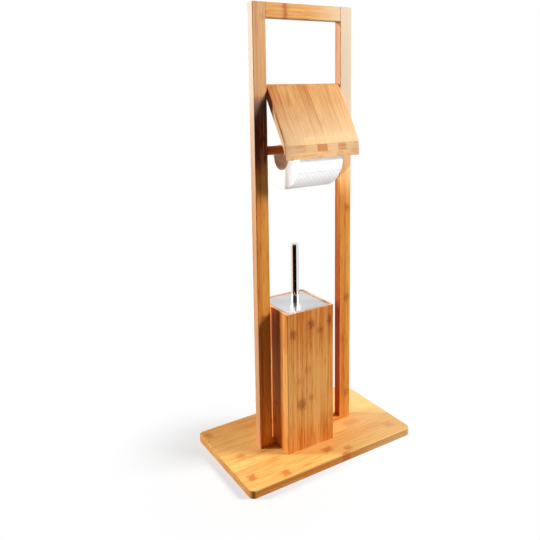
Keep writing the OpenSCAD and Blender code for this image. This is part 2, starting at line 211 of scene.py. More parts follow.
# %% [markdown]
# ## Bamboo
# A bamboo board is glued up from strips about 20 mm wide. Each strip has its own tint, long straight
# fibres, and a darker, mottled knuckle wherever the cane had a joint. One node group holds that rule, and
# each board only says which way its grain runs. It reads the place on the object, so the wood follows the
# piece when it moves, and end grain shows the same fibres as dots.

# %% The bamboo group
WOOD_DEEP = srgb(202, 108, 24)
bamboo = bpy.data.node_groups.new("bamboo", "ShaderNodeTree")
bamboo.interface.new_socket(name="Place", in_out="INPUT", socket_type="NodeSocketVector")
numbers = {"Strip": 0.02, "Start": 0.0, "Layer": 0.006, "Spacing": 0.26, "Seed": 0.0, "Chance": 0.45,
           "Knuckles": 0.6, "Marks": 0.0, "Shade": 0.0, "Fade": 0.0}
colours = {"Pale": srgb(240, 168, 76), "Deep": WOOD_DEEP, "Knuckle": srgb(140, 50, 4),
           "Worn": srgb(234, 216, 190)}
for kind, starts in (("Float", numbers), ("Color", colours)):
    for label, start in starts.items():
        socket = bamboo.interface.new_socket(name=label, in_out="INPUT", socket_type="NodeSocket" + kind)
        socket.default_value = start
for label, kind in (("Colour", "Color"), ("Height", "Float"), ("Roughness", "Float")):
    bamboo.interface.new_socket(name=label, in_out="OUTPUT", socket_type="NodeSocket" + kind)

print("bamboo inputs:", [*numbers, *colours])

# %% Strips, each with its own chances
w = Web(bamboo)
given = bamboo.nodes.new("NodeGroupInput").outputs
across, through, along = w.split(given["Place"])
column = w.math("DIVIDE", w.minus(across, given["Start"]), given["Strip"])
layer = w.math("FLOOR", w.math("DIVIDE", through, given["Layer"]))
strip_id = w.xyz(w.math("FLOOR", column), layer, given["Seed"])
w.add("ShaderNodeTexWhiteNoise", strip_id, noise_dimensions="3D")
chance_tint, chance_colour = bamboo.nodes[-1].outputs
chance_start, chance_shown, chance_fibre = w.split(chance_colour)
from_middle = w.math("ABSOLUTE", w.minus(w.math("FRACT", column), 0.5))
print("strips:", len(bamboo.nodes), "nodes")

# %% [markdown]
# Fibres are one kind of noise, stretched along the grain, from fine to broad. A knuckle is one band a strip
# at a steady spacing, with a wavering edge and dark specks in it. The glue lines between strips are
# hairlines, and only some of them show.

# %% Fibres
shifted = w.xyz(across, through, w.plus(along, w.times(chance_fibre, 3.0)))
fine = w.cells(shifted, (1900, 1900, 34), detail=3, roughness=0.6)
short = w.ramp(w.cells(shifted, (380, 380, 26), detail=3), 0.5, 0.7)
broad = w.cells(shifted, (260, 260, 5), detail=2)
patch = w.cells(shifted, (40, 40, 9), detail=2)
print("with fibres:", len(bamboo.nodes), "nodes")

# %% Knuckles and glue lines
wander = w.cells(given["Place"], (330, 330, 90), detail=2)
place_on_cane = w.plus(along, w.times(chance_start, given["Spacing"]))
turn = w.minus(w.math("FRACT", w.math("DIVIDE", place_on_cane, given["Spacing"])), 0.5)
off_band = w.times(w.minus(wander, 0.5), 0.016)
off_band = w.plus(w.times(turn, given["Spacing"]), off_band)
band = w.ramp(w.math("ABSOLUTE", off_band), 0.0015, 0.0085, 1, 0)
band = w.times(band, w.times(w.ramp(chance_shown, 0.45, 0.6), given["Knuckles"]))
band = w.times(band, w.ramp(from_middle, 0.34, 0.5, 1, 0.15))
specks = w.cells(given["Place"], (900, 900, 330), detail=3, roughness=0.65)
band = w.times(band, w.ramp(specks, 0.42, 0.66, 0.2, 1.0))
band = w.math("MAXIMUM", band, given["Marks"])
glue = w.times(w.ramp(from_middle, 0.482, 0.5), w.ramp(chance_shown, 0.2, 0.9))
print("with knuckles:", len(bamboo.nodes), "nodes")

# %% Colour, relief and roughness of the bamboo
tone = w.plus(w.times(chance_tint, given["Chance"]), given["Shade"])
for streak, share, middle in ((broad, 1.5, 0.5), (patch, 0.7, 0.5), (fine, 1.0, 0.5), (short, 0.5, 0.3)):
    tone = w.plus(tone, w.times(w.minus(streak, middle), share))
tone = w.math("ADD", tone, 0.25, clamp=True)
colour = w.mix(tone, given["Pale"], given["Deep"])
colour = w.mix(w.times(glue, 0.45), colour, given["Knuckle"])
colour = w.mix(w.times(band, 0.95), colour, given["Knuckle"])
# This last mix pales the wood towards a cream colour. On the posts, the top edge of the box and the cover
# that is painted sheen and highlight; on the base and the top rail it only makes them paler towards the
# right.
colour = w.mix(given["Fade"], colour, given["Worn"])
height = w.minus(w.plus(w.times(fine, 0.6), w.times(band, 0.3)), glue)
gives = bamboo.nodes.new("NodeGroupOutput").inputs
w.put(gives["Colour"], colour)
w.put(gives["Height"], height)
w.put(gives["Roughness"], w.plus(w.times(fine, 0.16), 0.44))
print("bamboo group:", len(bamboo.nodes), "nodes")

# %% [markdown]
# A board's grain is set by the order in which X, Y and Z are handed to the group. The knuckles that the eye
# picks out first are placed one by one: each is a soft oval, given in millimetres across and along the
# board, drawn with curved dark lines as where fibres swirl round a joint, and with a tail along the grain.


# %% Knuckles placed one by one
def knuckle_marks(web, place, marks, swirl=0.6, square=False):
    """How strongly each place is marked. A mark is across, along, half width, half length and strength."""
    stir = web.add("ShaderNodeTexNoise", out=1, named={"Vector": place, "Scale": 230.0, "Detail": 2.0})
    stir = web.vector("MULTIPLY", web.vector("SUBTRACT", stir, (0.5, 0.5, 0.5)), (0.008, 0.0, 0.012))
    moved = web.vector("ADD", place, stir)
    body, tail, nearest = 0.0, 0.0, 9.0
    for across_mm, along_mm, half_w, half_l, strength in marks:
        off = web.vector("SUBTRACT", moved, (across_mm / 1000, 0, along_mm / 1000))
        scaled = web.vector("MULTIPLY", off, (1000 / half_w, 0, 1000 / half_l))
        away = web.vector("LENGTH", scaled, out=1)
        if square:
            sideways, _, lengthways = web.split(web.vector("ABSOLUTE", scaled))
            away = web.math("MAXIMUM", sideways, lengthways)
        far = web.vector("LENGTH", web.vector("MULTIPLY", off, (1500 / half_w, 0, 450 / half_l)), out=1)
        body = web.math("MAXIMUM", body, web.ramp(away, 0.3, 1.15, strength, 0))
        tail = web.math("MAXIMUM", tail, web.ramp(far, 0.3, 1.1, strength, 0))
        nearest = web.math("MINIMUM", nearest, away)
    grit = web.cells(place, (500, 500, 400), detail=2, roughness=0.6)
    rings = web.math("SINE", web.plus(web.times(nearest, 5.0), web.times(grit, 30.0)))
    lines = web.ramp(rings, -0.5, 0.7, 1 - swirl, 1.0)
    threads = web.ramp(web.cells(place, (1500, 1500, 60), detail=2), 0.45, 0.65)
    tail = web.times(web.times(tail, threads), 0.5)
    return web.math("MAXIMUM", web.times(body, lines), tail)


# %% Bamboo finish
def use_bamboo(shader, web, values):
    """Puts the bamboo group into a material, with its roughness and dents, and returns its colour."""
    group = web.tree.nodes.new("ShaderNodeGroup")
    group.node_tree = bamboo
    for key, value in values.items():
        web.put(group.inputs[key], value)
    relief = web.dent(group.outputs["Height"], 0.25, 0.0004)
    paint(web, shader, roughness=group.outputs["Roughness"], relief=relief)
    return group.outputs["Colour"]


def board(node_name, short_name, grain, marks=(), swirl=0.6, square=False, **group_values):
    """Dresses a board. grain names the axes that run across, through and along its strips, such as xyz.

    Each group value is a number, a colour or a rule that works it out from the place."""
    made, shader, web = new_finish("bamboo_" + short_name, Coat_Weight=0.06, Coat_Roughness=0.3,
                                   Specular_IOR_Level=0.2)
    axes = dict(zip("xyz", web.split(web.here())))
    place = web.xyz(*(axes[a] for a in grain))
    values = {"Place": place}
    for key, value in group_values.items():
        values[key.capitalize()] = value(web, axes) if callable(value) else value
    if marks:
        values["Marks"] = knuckle_marks(web, place, marks, swirl, square)
    paint(web, shader, use_bamboo(shader, web, values))
    dress(node_name, made)


# %% [markdown]
# The boards differ: the base is the palest, the posts are a deeper orange low down and paler at the
# top, and the front of the box is darker at both ends. Such slow changes are rules along one axis. On
# the posts they are painted light: painted shade low down and painted sheen at the top. Two faces that
# lie deep in the shade get painted shade as well: the front of the left post beside the roll, and the
# inner face of the right post low down. The pale top edge of the box is a painted highlight.

# %% Knuckles of the boards
BASE_MARKS = [(-92, -103, 11, 10, .8), (-72, -160, 11, 10, .85), (-76, -2, 10, 13, .8),
              (-93, 34, 8, 10, .7), (-74, 150, 11, 12, .85), (-27, 94, 14, 22, .55),
              (-8, -147, 10, 12, .5), (85, -167, 13, 9, .6), (14, 133, 8, 9, .35),
              (-104, 20, 5, 12, .7), (-30, -60, 9, 12, .3), (-60, 120, 9, 16, .3)]
BOX_MARKS = [(-60, 243, 10, 12, 1), (-19, 254, 10, 13, 1), (0, 240, 9, 9, .7), (23, 254, 8, 14, 1),
             (-40, 104, 12, 15, .95), (-19, 113, 7, 7, .5), (10, 175, 6, 9, .25)]
BACK_MARKS = [(-52, 196, 10, 12, .8), (14, 66, 11, 13, .9), (21, 236, 9, 11, .7), (-24, 132, 8, 9, .5),
              (-58, 38, 8, 9, .5)]
RIGHT_MARKS = [(96, 269, 8, 11, .8), (97, 70, 8, 11, .7), (86, 185, 5, 14, .5), (96, 450, 8, 11, .8),
               (96, 741, 8, 10, .45)]
LEFT_MARKS = [(-86, 796, 8, 9, .5), (-93, 267, 10, 9, .8), (-98, 505, 6, 10, .4)]
RAIL_MARKS = [(807, -40, 30, 7, 1)]
print("knuckles on the base:", len(BASE_MARKS), "on the front of the box:", len(BOX_MARKS))

# %% Tones of the base, the box and the top rail
BOARD_TOP, BOX_TOP = 0.015, 0.282


def base_shade(web, axes):
    # A little paler towards the left end: painted light that lifts the stand's shadow there. The side faces
    # under the top edge take a deeper orange.
    painted_light_left = web.times(web.ramp(axes["x"], -0.08, -0.15), -0.05)
    return web.plus(painted_light_left, web.ramp(axes["z"], BOARD_TOP - 0.0008, BOARD_TOP - 0.0025, 0.0, 0.35))


def base_paler_right(web, axes):
    return web.ramp(axes["x"], 0.0, 0.16, 0.0, 0.45)


def box_shade(web, axes):
    ends = web.plus(web.ramp(axes["z"], 0.17, 0.25), web.ramp(axes["z"], 0.10, 0.03))
    return web.minus(web.times(ends, 0.42), 0.12)


def rim_painted_highlight(web, axes):
    # The top edge of each wall of the box is paler: a painted highlight.
    return web.ramp(axes["z"], BOX_TOP - 0.0006, BOX_TOP - 0.0001, 0.0, 0.4)


def rail_paler_right(web, axes):
    return web.ramp(axes["x"], 0.0, 0.085, 0.0, 0.72)


# %% Tones of the posts
POST_IN, POST_OUT, POST_FRONT = 0.079, 0.105, -0.008


def right_inner(web, axes):
    """The inner face of the right post."""
    return web.ramp(axes["x"], POST_IN + 0.0005, POST_IN + 0.0001)


def right_painted_shade(web, axes):
    # Painted shade: the inner face goes darker low down, and the whole post a little darker low down and
    # paler high up.
    inner = web.times(right_inner(web, axes), web.ramp(axes["z"], 0.6, 0.3, 0.3, 0.9))
    return web.plus(inner, web.ramp(axes["z"], 0.5, 0.1, -0.08, 0.04))


def right_painted_shadow_colour(web, axes):
    # Painted shade: the inner face takes a darker colour low down.
    inner = web.times(right_inner(web, axes), web.ramp(axes["z"], 0.6, 0.3, 0.2, 1.0))
    return web.mix(inner, WOOD_DEEP, srgb(174, 78, 4))


def right_painted_sheen(web, axes):
    # Painted sheen: the front and the back pale towards the top.
    from_inner = web.ramp(axes["x"], POST_IN + 0.0002, POST_IN + 0.0025, 0.3, 1.0)
    to_outer = web.ramp(axes["x"], POST_OUT - 0.0010, POST_OUT - 0.0002, 1.0, 0.3)
    return web.times(web.ramp(axes["z"], 0.44, 0.66, 0, 0.85), web.times(from_inner, to_outer))


def beside_roll(web, axes):
    """The front of the left post, where the cover and the roll shade it and where that shade is painted."""
    height = web.times(web.ramp(axes["z"], 0.67, 0.65), web.ramp(axes["z"], 0.52, 0.56))
    return web.times(height, web.ramp(axes["y"], POST_FRONT + 0.0010, POST_FRONT + 0.0002))


def left_painted_shade(web, axes):
    # Painted shade: a little darker low down, darker from the roll's height up to the cover, and darkest on
    # the front beside the roll.
    sides = web.times(web.ramp(axes["z"], 0.67, 0.65), web.ramp(axes["z"], 0.50, 0.55, 0.12, 0.4))
    return web.plus(sides, web.times(beside_roll(web, axes), 0.35))


def left_painted_shadow_colour(web, axes):
    # Painted shade: a darker colour on the front beside the roll.
    return web.mix(beside_roll(web, axes), WOOD_DEEP, srgb(104, 36, 4))


def left_painted_sheen(web, axes):
    # Painted sheen: the outer face pales towards the top, and the whole post near the top.
    on_outer = web.ramp(axes["x"], 0.0004 - POST_OUT, 0.0002 - POST_OUT)
    outer = web.times(on_outer, web.ramp(axes["z"], 0.4, 0.64, 0.26, 0.6))
    return web.plus(outer, web.ramp(axes["z"], 0.6, 0.68, 0, 0.25))


# %% Dress the boards
base_tints = {"pale": srgb(244, 193, 110), "deep": srgb(226, 140, 58), "knuckle": srgb(190, 84, 2),
              "worn": srgb(246, 212, 150)}
rail_tints = {"pale": srgb(248, 188, 102), "deep": srgb(214, 130, 50), "knuckle": srgb(190, 84, 8),
              "worn": srgb(240, 214, 172)}
box_wood = {"strip": 0.0175, "layer": 0.2, "shade": box_shade, "fade": rim_painted_highlight, "pale": srgb(246, 178, 96),
            "deep": srgb(206, 110, 28), "knuckle": srgb(134, 40, 2)}
post_wood = {"strip": 0.0135, "layer": 0.008, "knuckles": 0.2}
board("base_board", "base", "yzx", BASE_MARKS, 0.3, True, shade=base_shade, fade=base_paler_right, strip=0.021,
      seed=3.0, knuckles=0.2, chance=0.5, **base_tints)
board("left_post", "left_post", "xyz", LEFT_MARKS, shade=left_painted_shade, fade=left_painted_sheen, deep=left_painted_shadow_colour,
      seed=5.0, **post_wood)
board("right_post", "right_post", "xyz", RIGHT_MARKS, shade=right_painted_shade, fade=right_painted_sheen, deep=right_painted_shadow_colour,
      seed=9.0, **post_wood)
board("top_rail", "top_rail", "zyx", RAIL_MARKS, 0.3, fade=rail_paler_right, strip=0.013, layer=0.008, seed=2.0,
      knuckles=0.2, **rail_tints)
board("foot_rail", "foot_rail", "yzx", strip=0.016, layer=0.008, seed=6.0)
# The rod's darker tints are painted shade, as it sits in the shade of the left post and the cover.
board("roll_rod", "rod", "zyx", strip=0.02, layer=0.02, seed=4.0, knuckles=0.4, pale=srgb(206, 112, 36),
      deep=srgb(150, 62, 10))
board("rail_dowels", "dowels", "zyx", seed=8.0)
for side, seed, marks in (("box_front", 11.0, BOX_MARKS), ("box_back", 12.0, BACK_MARKS)):
    board(side, side, "xyz", marks, seed=seed, knuckles=0.3, chance=0.3, **box_wood)
for side, seed in (("box_left", 13.0), ("box_right", 14.0)):
    board(side, side, "yxz", seed=seed, knuckles=0.5, **box_wood)
board("box_floor", "box_floor", "yzx", seed=15.0)
print("bamboo finishes:", len([m for m in bpy.data.materials if m.name.startswith("bamboo")]))

# %% [markdown]
# ## The bent cover
# The cover is one laminated board, bent over a form and falling forward over the roll. The packed solid has
# its outline in flat facets. Here the same outline is drawn with many more points, swept from end to end,
# and its rims are eased, so the bend catches the light as one curve. Each point also keeps how far down the
# board it lies, measured round the bend, so the strips follow it.

# %% Outline of the cover
HINGE_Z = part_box("hinge_pins")[0].z / 2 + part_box("hinge_pins")[1].z / 2
COVER_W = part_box("roll_cover")[1].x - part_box("roll_cover")[0].x
COVER_T = 0.0135
TILT = math.radians(32.1626)
COS, SIN = math.cos(TILT), math.sin(TILT)
FLAT, BEND_R, LIP, LIP_T = 0.091, 0.072, 0.008, 0.002
HINGE_TO_ROLL, TOUCH_MARGIN = 0.1222, 0.003
TOUCH = HINGE_TO_ROLL * COS + TOUCH_MARGIN


def bend_point(angle):
    """A point of the outer face in the bend, as far round it as the angle."""
    return Vector((FLAT + BEND_R * math.sin(angle), COVER_T / 2 - BEND_R * (1 - math.cos(angle))))


lip_out = bend_point(TILT) + LIP * Vector((COS, -SIN))
lip_in = lip_out - LIP_T * Vector((SIN, COS))
flat_end = Vector((TOUCH, -COVER_T / 2))
pull = Vector((flat_end.x + 0.45 * (lip_in.x - flat_end.x), -COVER_T / 2))
rear = [math.radians(a) for a in range(270, 89, -10)]
outline = [COVER_T / 2 * Vector((math.cos(a), math.sin(a))) for a in rear]
outline += [Vector((FLAT * k / 6, COVER_T / 2)) for k in range(1, 6)]
outline += [bend_point(TILT * k / 24) for k in range(25)] + [lip_out]
for u in (k / 14 for k in range(15)):
    outline.append((1 - u) ** 2 * lip_in + 2 * u * (1 - u) * pull + u * u * flat_end)
outline += [Vector((TOUCH * k / 6, -COVER_T / 2)) for k in range(5, 0, -1)]
print("outline points:", len(outline))


# %% Places on the cover
def on_slope(point, x):
    """A point of the outline at x, turned down to the slope of the closed cover and hung on its hinge."""
    s, t = point
    return Vector((x, -(s * SIN + t * COS), HINGE_Z - (s * COS - t * SIN)))


def down_and_through(point):
    """How far down the board a place lies, round the bend, and how deep under its outer face."""
    s, t = point
    centre = COVER_T / 2 - BEND_R
    angle = math.atan2(s - FLAT, t - centre)
    if s <= FLAT:
        return s, COVER_T / 2 - t
    if angle <= TILT:
        return FLAT + BEND_R * angle, BEND_R - math.hypot(s - FLAT, t - centre)
    past = Vector((s, t)) - bend_point(TILT)
    return FLAT + BEND_R * TILT + past.dot(Vector((COS, -SIN))), -past.dot(Vector((SIN, COS)))


print("the lip ends", round(down_and_through(lip_out)[0], 4), "down the board")


# %% A mesh becomes a piece
def new_piece(name, mesh, finish, smooth_under=35.0):
    """Puts a mesh into the scene, smooth except where its faces meet at a sharp angle."""
    piece = new_object(name, mesh)
    mesh.polygons.foreach_set("use_smooth", [True] * len(mesh.polygons))
    mesh.set_sharp_from_angle(angle=math.radians(smooth_under))
    mesh.materials.clear()
    mesh.materials.append(finish)
    return piece


# %% Sweep the outline from end to end
EASE, END_CUT = 0.0009, 0.003
form = bmesh.new()
rings = []
half = [-COVER_W / 2, END_CUT - COVER_W / 2]
stations = half + [COVER_W * (k / 8 - 0.5) for k in range(1, 8)] + [-x for x in reversed(half)]
for x in stations:
    rings.append([form.verts.new((x, p.x, p.y)) for p in outline])
for near, far in zip(rings, rings[1:]):
    for k in range(len(outline)):
        n = (k + 1) % len(outline)
        form.faces.new((near[k], near[n], far[n], far[k]))
for ring in (rings[0], list(reversed(rings[-1]))):
    form.faces.new(list(reversed(ring)))
bmesh.ops.recalc_face_normals(form, faces=form.faces)
print("swept faces:", len(form.faces))

# %% Ease the rims and lean the cover on the roll
rims = [e for e in form.edges if len(e.link_faces) == 2 and any(len(f.verts) > 4 for f in e.link_faces)]
bmesh.ops.bevel(form, geom=rims, offset=EASE, segments=2, profile=0.6, affect="EDGES", clamp_overlap=True)
grain_layer = form.verts.layers.float_vector.new("grain")
for v in form.verts:
    down, deep = down_and_through(Vector((v.co.y, v.co.z)))
    v[grain_layer] = (v.co.x, deep, down)
    v.co = on_slope(Vector((v.co.y, v.co.z)), v.co.x)
bmesh.ops.recalc_face_normals(form, faces=form.faces)
# Turning the outline round can leave every face looking inwards, which a volume below zero tells
if form.calc_volume(signed=True) < 0:
    bmesh.ops.reverse_faces(form, faces=form.faces)
cover_mesh = bpy.data.meshes.new("cover_board")
form.to_mesh(cover_mesh)
form.free()
print("cover faces:", len(cover_mesh.polygons))

# %% [markdown]
# The cover has three zones: long strips down the slope, dark and pale by turns, growing evener and paler
# towards the bend in painted sheen; a paler band in the bend, its paleness painted sheen, with short blocks
# in it; and the lip under a thin glue line, which starts with a row of blocks, some of them dark. Its ends
# show the plies as dark lines. The zones are told apart by how far down a place lies.

# %% Zones and blocks of the cover
BEND_FROM, LIP_FROM = 0.1005, 0.1155
COVER_STRIPS = [(-77.5, .55), (-57, .25), (-38, .2), (-16, .5), (6, .12), (28, .26), (50, .05), (66, .0)]
COVER_MARKS = [(-38, 66, 11, 10, .5), (8, 77, 9, 9, .5)]
BLOCKS = [(-77.5, .35), (-58, .3), (-39, -.25), (-17, .25), (11, .0), (33, .2), (55, -.1)]
LIP_BLOCKS = [(-77.5, .2), (-58, .35), (-37, .15), (-14.4, 1.3), (7.5, .1), (30.5, .85), (48.7, .1),
              (64, .25)]
PLY_DEEP = 0.0022


def steps(web, place_mm, stops, low=-77.5, high=77.5):
    """A value that jumps at given places, such as the tone of one strip after another."""
    share = web.ramp(place_mm, low, high, smooth=False)
    web.add("ShaderNodeValToRGB", share)
    ramp = web.tree.nodes[-1].color_ramp
    ramp.interpolation = "CONSTANT"
    for k, (at, value) in enumerate(stops):
        stop = ramp.elements[k] if k < 2 else ramp.elements.new(1)
        stop.position = (at - low) / (high - low)
        stop.color = (value, value, value, 1)
    return web.tree.nodes[-1].outputs[0]


# %% Finish of the cover
finish_cover, cover_shader, web = new_finish("bamboo_cover", Coat_Weight=0.05, Coat_Roughness=0.4,
                                             Specular_IOR_Level=0.2)
own = web.add("ShaderNodeAttribute", attribute_name="grain", attribute_type="GEOMETRY", out=1)
cover_across, cover_deep, cover_down = web.split(own)
x_mm = web.times(cover_across, 1000.0)
# Down the slope the strips grow evener towards the bend: painted sheen, where the board turns to the key
# lamp.
slope_tone = web.times(steps(web, x_mm, COVER_STRIPS), web.ramp(cover_down, 0.02, 0.10, 1.0, 0.45))
lower = web.ramp(cover_down, LIP_FROM + 0.0115, LIP_FROM + 0.013)
patchy = web.cells(own, (70, 70, 160), detail=2)
lip_tone = web.mix(lower, steps(web, x_mm, LIP_BLOCKS), web.ramp(patchy, 0.35, 0.7, 0.0, 0.5), "FLOAT")
in_band = web.ramp(cover_down, BEND_FROM, BEND_FROM + 0.003)
in_lip = web.ramp(cover_down, LIP_FROM, LIP_FROM + 0.0006)
# The band in the bend is paler than its blocks alone would make it: painted sheen.
zone_tone = web.mix(in_band, slope_tone, web.minus(steps(web, x_mm, BLOCKS), 0.2))
zone_tone = web.mix(in_lip, zone_tone, web.minus(lip_tone, 0.15))
on_slope_share = web.minus(1.0, in_lip)
crosswise = web.xyz(web.plus(cover_down, 0.01), cover_deep, cover_across)
# Down the slope the wood also pales towards a cream colour: painted sheen.
cover_colour = use_bamboo(cover_shader, web, {
    "Place": web.mix(in_lip, own, crosswise, "VECTOR"), "Strip": 0.022, "Start": -0.016, "Layer": 0.2,
    "Seed": 21.0, "Knuckles": 0.0, "Chance": 0.0, "Shade": zone_tone,
    "Marks": knuckle_marks(web, own, COVER_MARKS),
    "Fade": web.times(web.ramp(cover_down, 0.02, 0.10, 0.0, 0.4), on_slope_share),
    "Worn": srgb(236, 206, 156), "Knuckle": srgb(184, 92, 26),
    "Pale": web.mix(in_lip, srgb(228, 174, 104), srgb(208, 168, 122)),
    "Deep": web.mix(in_lip, srgb(188, 108, 38), srgb(182, 118, 60))})
line = web.ramp(web.math("ABSOLUTE", web.minus(cover_down, LIP_FROM)), 0.0003, 0.001, 0.25, 0)
ply = web.ramp(web.math("ABSOLUTE", web.minus(cover_deep, PLY_DEEP)), 0.0008, 0.0018, 0.95, 0)
ply = web.times(ply, web.ramp(cover_down, 0.03, 0.06))
paint(web, cover_shader, web.mix(web.math("MAXIMUM", line, ply), cover_colour, srgb(104, 52, 20)))
print("cover finish:", len(finish_cover.node_tree.nodes), "nodes")

# %% Hang the cover
cover_board = new_piece("cover_board", cover_mesh, finish_cover)
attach(cover_board, "cover")
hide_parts("roll_cover")
print("cover done")

# %% [markdown]
# ## Running a geometry tree
# What repeats or follows a rule is made by Geometry Nodes. Each tree is built here, gets its sizes through
# named inputs, and is turned into a plain mesh at once, so that no live modifier stays in the scene.


# %% Geometry helpers
def new_tree(name, inputs):
    """An empty geometry tree with its named inputs, and a helper that adds nodes to it."""
    tree = bpy.data.node_groups.new(name, "GeometryNodeTree")
    tree.is_modifier = True
    tree.interface.new_socket(name="Geometry", in_out="INPUT", socket_type="NodeSocketGeometry")
    tree.interface.new_socket(name="Geometry", in_out="OUTPUT", socket_type="NodeSocketGeometry")
    for label, kind in inputs.items():
        tree.interface.new_socket(name=label, in_out="INPUT", socket_type="NodeSocket" + kind)
    return tree, Web(tree), tree.nodes.new("NodeGroupInput").outputs


def finish_tree(tree, web, shape, material):
    """Every tree ends alike: instances become real faces, and they get their material."""
    real = web.add("GeometryNodeRealizeInstances", shape)
    named = {"Geometry": real, "Material": material}
    web.put(tree.nodes.new("NodeGroupOutput").inputs[0], web.add("GeometryNodeSetMaterial", named=named))


def run_tree(name, tree, start_mesh, values):
    """Runs a tree once on a mesh and returns the result as a plain mesh."""
    carrier = new_object(name + "_carrier", start_mesh)
    modifier = carrier.modifiers.new(name, "NODES")
    modifier.node_group = tree
    for item in tree.interface.items_tree:
        if item.in_out == "INPUT" and item.name in values:
            modifier[item.identifier] = values[item.name]
    carrier.update_tag()
    seen = carrier.evaluated_get(bpy.context.evaluated_depsgraph_get())
    made = bpy.data.meshes.new_from_object(seen)
    made.name = name
    carrier.modifiers.remove(modifier)
    bpy.data.objects.remove(carrier)
    print(name, "faces:", len(made.polygons))
    return made


# %% [markdown]
# ## The paper roll
# A roll is one long sheet wound round a card core. Its outside is a turn of a spiral that ends in a small
# step at the front, its ends show the edges of the turns, and the sheet is pressed into small pillows. A
# plain mesh carries three numbers for each point: how far round it lies, how far out, and how far along.
# The tree turns them into the spiral and sinks the seams between the pillows.

# %% Points of the roll, as numbers
ROLL_LOW, ROLL_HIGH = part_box("paper_roll")
CORE_LOW, CORE_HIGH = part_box("roll_core")
ROLL_R, ROLL_W, STEP, OFF_CORE = 0.058, ROLL_HIGH.x - ROLL_LOW.x, 0.001, 0.00005
CORE_R = (CORE_HIGH.z - CORE_LOW.z) / 2 + OFF_CORE
ROLL_Z = (CORE_HIGH.z + CORE_LOW.z) / 2
STEP_ANGLE = math.radians(203)
ROUND, LONG, RINGS = 300, 84, 16
# One line across the roll, as (along, out): up one end, over the skin and down the other, edges eased
profile = [(0.5, 0.0)]
profile += [(0.5, 0.02 + 0.93 * k / RINGS) for k in range(RINGS + 1)] + [(0.4965, 0.986)]
profile += [(0.5 - 0.012 - 0.976 * k / LONG, 1.0) for k in range(LONG + 1)] + [(-0.4965, 0.986)]
profile += [(-0.5, 0.02 + 0.93 * k / RINGS) for k in range(RINGS, -1, -1)] + [(-0.5, 0.0)]
flat_roll = bpy.data.meshes.new("flat_roll")
points = [(k / ROUND, out, along) for k in range(ROUND + 1) for along, out in profile]
n = len(profile)
quads = [(r + c, r + (c + 1) % n, r + n + (c + 1) % n, r + n + c)
         for r in range(0, ROUND * n, n) for c in range(n)]
flat_roll.from_pydata(points, [], quads)
print("roll points:", len(points))

# %% The tree that winds the paper
tree, g, given = new_tree("wind_paper", {
    "Core radius": "Float", "Roll radius": "Float", "Step": "Float", "Width": "Float",
    "Start angle": "Float", "Centre height": "Float", "Pillow": "Float", "Depth": "Float",
    "Material": "Material"})
turn, out_share, long_share = g.split(g.add("GeometryNodeInputPosition"))
edge_r = g.plus(g.minus(given["Roll radius"], given["Step"]), g.times(turn, given["Step"]))
inner_r = g.minus(given["Roll radius"], given["Step"])
skin = g.ramp(out_share, 0.975, 1.0, smooth=False)
body_r = g.plus(given["Core radius"], g.times(out_share, g.minus(inner_r, given["Core radius"])))
radius = g.plus(body_r, g.times(skin, g.minus(edge_r, inner_r)))
arc = g.times(g.times(turn, given["Roll radius"]), 2 * math.pi)
over = g.times(long_share, given["Width"])


def pillow_wave(a, b, operation):
    """Crests between the seams of one family of slanting lines."""
    phase = g.times(g.math("DIVIDE", g.math(operation, a, b), given["Pillow"]), math.pi)
    return g.math("ABSOLUTE", g.math("SINE", phase))


crest = g.math("POWER", g.times(pillow_wave(arc, over, "ADD"), pillow_wave(arc, over, "SUBTRACT")), 0.45)
sunk = g.times(g.times(g.minus(1.0, crest), given["Depth"]), skin)
wrinkle = g.minus(g.noise(g.xyz(g.times(turn, 9.0), out_share, g.times(over, 60.0))), 0.75)
radius = g.minus(radius, sunk)
radius = g.plus(radius, g.times(g.times(wrinkle, skin), 0.0005))
angle = g.plus(given["Start angle"], g.times(turn, 2 * math.pi))
place = g.xyz(over, g.times(radius, g.math("COSINE", angle)),
              g.plus(given["Centre height"], g.times(radius, g.math("SINE", angle))))
wound = g.add("GeometryNodeSetPosition", named={"Geometry": given["Geometry"], "Position": place})
wound = g.add("GeometryNodeMergeByDistance", named={"Geometry": wound, "Distance": 0.00001})
finish_tree(tree, g, wound, given["Material"])
print("winding tree:", len(tree.nodes), "nodes")

# %% [markdown]
# Tissue is soft and white, with a fine crepe that only shows as a slight roughness. At the ends of the roll
# the material reads how far a point is from the axis, and draws the edges of the turns as faint rings.

# %% Paper
paper, paper_shader, web = new_finish("tissue", Roughness=0.9, Specular_IOR_Level=0.15, Sheen_Weight=0.15)
on_roll = web.here()
px, py, pz = web.split(on_roll)
from_axis = web.vector("LENGTH", web.xyz(0.0, py, web.minus(pz, ROLL_Z)), out=1)
at_end = web.ramp(web.math("ABSOLUTE", px), ROLL_W / 2 - 0.0004, ROLL_W / 2 - 0.0001)
turns = web.cells(web.xyz(from_axis, py, pz), (2600, 14, 14), detail=3)
crepe = web.cells(on_roll, (1500, 600, 600), detail=3, roughness=0.6)
end_tint = web.mix(turns, srgb(254, 253, 250), srgb(244, 241, 236))
paint(web, paper_shader, web.mix(at_end, srgb(243, 243, 243), end_tint),
      relief=web.dent(web.mix(at_end, crepe, turns, "FLOAT"), 0.35, 0.0004))
print("paper ready")

# %% [markdown]
# The core is a strip of pale brown card wound into a tube, so its seam runs round it as a slow screw.

